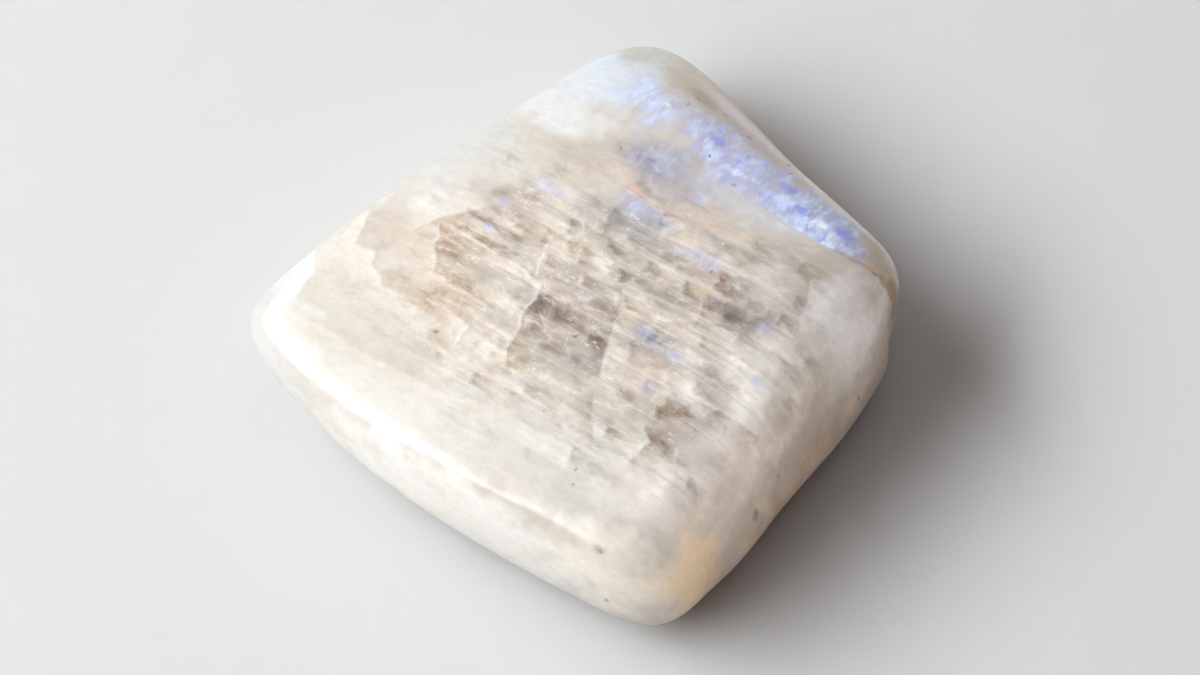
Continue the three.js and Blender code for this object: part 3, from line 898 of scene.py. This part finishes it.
def addWindows(tree, colour, patterns):
    # clear windows: darkest just past a cross fracture, milky at the far end
    byChance = times(tree, patterns["blockClear"], patterns["lively"], windowLook["chance"])
    clear = calc(tree, "MAXIMUM", patterns["clear"], byChance)
    cloudy = fade(tree, patterns["clouds"], *windowLook["clouds"])
    cloudy = timesPlus(tree, cloudy, windowLook["cloudLoss"], windowLook["gain"])
    patterns["clear"] = calc(tree, "MULTIPLY", clear, cloudy, clamp=True)
    shade = blend(tree, patterns["warmth"], windowLook["shade"], windowLook["warmShade"])
    colour = blend(tree, patterns["clear"], colour, shade, "MULTIPLY")
    return brighten(tree, colour, timesPlus(tree, patterns["blockLight"], patterns["lively"], 1.0))


def addCrystals(tree, colour, patterns):
    # small crystals, each a little lighter, darker, warmer or cooler, and a few that sparkle as painted
    # glints
    chances, distance = brokenCells(
        tree, patterns["place"], crystalLook["scale"], patterns["grit"], crystalLook["shake"])
    light, warm, spark = chances
    sparks = times(
        tree, fade(tree, spark, *crystalLook["sparks"]), fade(tree, distance, *crystalLook["sparkSize"]))
    patterns["sparks"] = times(tree, sparks, patterns["lively"], crystalLook["sparkStrength"])
    light = timesPlus(tree, centred(tree, light), crystalLook["light"], 1.0)
    shade = brighten(tree, blend(tree, warm, crystalLook["warm"], crystalLook["cool"]), light)
    strength = timesPlus(tree, patterns["clear"], crystalLook["inClear"], crystalLook["elsewhere"])
    strength = times(tree, patterns["lively"], strength)
    return blend(tree, strength, colour, blend(tree, 1.0, colour, shade, "MULTIPLY"))


def addClouds(tree, colour, patterns):
    # milky clouds, darker hollows between them, fine mottling and faint stripes along the lamellae
    clouds, lively = patterns["clouds"], patterns["lively"]
    calm = timesPlus(tree, lively, *cloudLook["calm"])
    wisps = times(tree, fade(tree, clouds, *cloudLook["wisps"]), calm, cloudLook["wispStrength"])
    milk = times(tree, patterns["milk"], fade(tree, clouds, *cloudLook["milk"]))
    milky = times(tree, calc(tree, "MAXIMUM", wisps, milk), cloudLook["milkStrength"])
    colour = blend(tree, milky, colour, tint(*cloudLook["milkColour"]))
    dark = times(tree, fade(tree, clouds, *cloudLook["dark"]), calm, cloudLook["darkStrength"])
    colour = blend(tree, dark, colour, cloudLook["darkColour"], "MULTIPLY")
    colour = brighten(tree, colour, fade(tree, patterns["mottling"], *cloudLook["mottling"]))
    streaks = times(tree, centred(tree, patterns["streaks"]), lively)
    return brighten(tree, colour, fade(tree, streaks, *cloudLook["streaks"]))


def addLines(tree, colour, patterns):
    # cottony threads, then the bright lines at the edges of blocks, both broken up; the bright lines are
    # partly painted highlights, where cracks catch the light
    threads = calc(tree, "ABSOLUTE", centred(tree, patterns["streaks"]))
    threads = times(
        tree,
        fade(tree, threads, *lineLook["threads"]),
        fade(tree, patterns["mottling"], *lineLook["threadBreaks"]),
        patterns["lively"],
        lineLook["threadStrength"],
    )
    colour = blend(tree, threads, colour, tint(*lineLook["threadColour"]))
    breaks = fade(tree, patterns["breaks"], *lineLook["breaks"])
    rows = times(tree, patterns["rowLine"], lineLook["rows"])
    columns = times(tree, patterns["columnLine"], lineLook["columns"])
    lines = times(tree, calc(tree, "MAXIMUM", rows, columns), patterns["lively"])
    edges = timesPlus(tree, breaks, lineLook["edgeBreaks"], patterns["edge"])
    lines = calc(tree, "MAXIMUM", lines, fade(tree, edges, *lineLook["edges"]))
    lines = calc(tree, "MULTIPLY", lines, breaks, clamp=True)
    return blend(tree, times(tree, lines, lineLook["strength"]), colour, tint(*lineLook["colour"]))


def addSheen(tree, colour, patterns):
    # the blue sheen painted into the base colour: a base, then pale, deep and bright flakes of it, the bright
    # ones painted highlights
    glow, violet, white = split(tree, painted(tree, "paintedSheen")[0])
    flickers = split(tree, patterns["flicker"])
    flakes = brokenCells(
        tree, patterns["place"], sheenLook["flakes"], patterns["flicker"], sheenLook["shake"])[0]
    base = sheenLook["base"]
    colour = blend(tree, times(tree, glow, base["strength"]), colour, tint(*base["colour"]))
    flashes = {"pale": white, "deep": violet, "bright": white}
    for (name, flash), flicker, flake in zip(flashes.items(), flickers, flakes):
        look = sheenLook[name]
        strength = timesPlus(tree, flicker, look["flicker"], times(tree, flake, look["flake"]))
        strength = fade(tree, timesPlus(tree, flash, look["flash"], strength), *look["fade"])
        strength = times(tree, strength, glow, look["strength"])
        colour = blend(tree, strength, colour, tint(*look["colour"]))
    return colour


def addMarks(tree, colour):
    marks, marked = painted(tree, "marks")
    bare = calc(tree, "SUBTRACT", 1.0, marked)
    return blend(tree, 1.0, brighten(tree, colour, bare), marks, "ADD")


def polish(tree, shader, patterns):
    plug(tree, fade(tree, patterns["clouds"], *polishLook["roughness"]), shader.inputs["Roughness"])
    bump = tree.nodes.new("ShaderNodeBump")
    setInputs(bump, {"Strength": polishLook["bump"], "Distance": polishLook["bumpDepth"] * mm})
    plug(tree, patterns["polish"], bump.inputs["Height"])
    plug(tree, bump.outputs["Normal"], shader.inputs["Normal"])
    setInputs(shader, {
        "Subsurface Weight": 1,
        "Subsurface Radius": polishLook["scatter"],
        "Subsurface Scale": polishLook["scatterDepth"] * mm,
        "Coat Weight": polishLook["coat"],
        "Coat Roughness": polishLook["coatRoughness"],
    })


def moonstoneMaterial():
    material, tree, shader = newMaterial("polished_moonstone")
    colour, lively = painted(tree, "tone")
    patterns = stonePatterns(tree)
    patterns["lively"] = lively
    colour = addWindows(tree, colour, patterns)
    colour = addCrystals(tree, colour, patterns)
    colour = addClouds(tree, colour, patterns)
    colour = addLines(tree, colour, patterns)
    # painted glints on a few crystals
    colour = blend(tree, patterns["sparks"], colour, tint(*crystalLook["sparkColour"]))
    colour = addSheen(tree, colour, patterns)
    colour = addMarks(tree, colour)
    plug(tree, colour, shader.inputs["Base Color"])
    polish(tree, shader, patterns)
    return material


stone.data.materials.append(moonstoneMaterial())
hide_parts("moonstone")
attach(stone, "root")
print("moonstone material made")

# Floor, light and camera

floorLook = {
    "size": 2.0,  # metres
    "colour": (0.59, 0.59, 0.59),
    "roughness": 0.7,
    "scatterWeight": 0.6, "scatter": (1.0, 0.72, 0.62), "scatterDepth": 8,
}


def paleFloorMaterial():
    material, tree, shader = newMaterial("pale_floor")
    setInputs(shader, {
        "Base Color": (*floorLook["colour"], 1),
        "Roughness": floorLook["roughness"],
        "Subsurface Weight": floorLook["scatterWeight"],
        "Subsurface Radius": floorLook["scatter"],
        "Subsurface Scale": floorLook["scatterDepth"] * mm,
    })
    return material


bpy.ops.object.select_all(action="DESELECT")
bpy.ops.mesh.primitive_plane_add(size=floorLook["size"], location=(0, 0, 0))
floor = bpy.context.object
floor.name = "floor"
floor.data.materials.append(paleFloorMaterial())

# Sizes and distances of the lights are in metres, powers in watts
softLights = {
    "key": {"towards": (-0.77, 0.01, 0.62), "distance": 0.55, "width": 0.84, "height": 0.24, "power": 6.42,
            "colour": (0.965, 0.995, 1)},
    "overhead": {"towards": (0.3, 0.4, 1), "distance": 0.6, "width": 0.5, "height": 0.5, "power": 0.55,
                 "colour": (1, 0.97, 0.97)},
}
sky = {"strength": 0.097, "colour": (1, 0.82, 0.78)}


def softLight(name, towards, distance, width, height, power, colour):
    direction = Vector(towards).normalized()
    bpy.ops.object.light_add(type="AREA", location=direction * distance)
    light = bpy.context.object
    light.name = name
    light.data.shape = "ELLIPSE"
    light.data.size = width
    light.data.size_y = height
    light.data.energy = power
    light.data.color = colour
    light.rotation_euler = direction.to_track_quat("Z", "Y").to_euler()


for name, values in softLights.items():
    softLight(name, **values)
world = bpy.data.worlds.new("studio")
world.use_nodes = True
setInputs(world.node_tree.nodes["Background"], {"Color": (*sky["colour"], 1), "Strength": sky["strength"]})
bpy.context.scene.world = world
bpy.context.scene.view_settings.view_transform = "Standard"

cameraPlace = {"elevation": 57, "aim": (1.38, -1.66, 5.0), "distance": 269.5, "lens": 150}


def makeCamera():
    tilt = math.radians(cameraPlace["elevation"])
    back = Vector((0, -math.cos(tilt), math.sin(tilt))) * cameraPlace["distance"] * mm
    place = Vector(cameraPlace["aim"]) * mm + back
    bpy.ops.object.camera_add(location=place, rotation=(math.pi / 2 - tilt, 0, 0))
    camera = bpy.context.object
    camera.data.lens = cameraPlace["lens"]
    bpy.context.scene.camera = camera


makeCamera()
print("floor, light and camera placed")
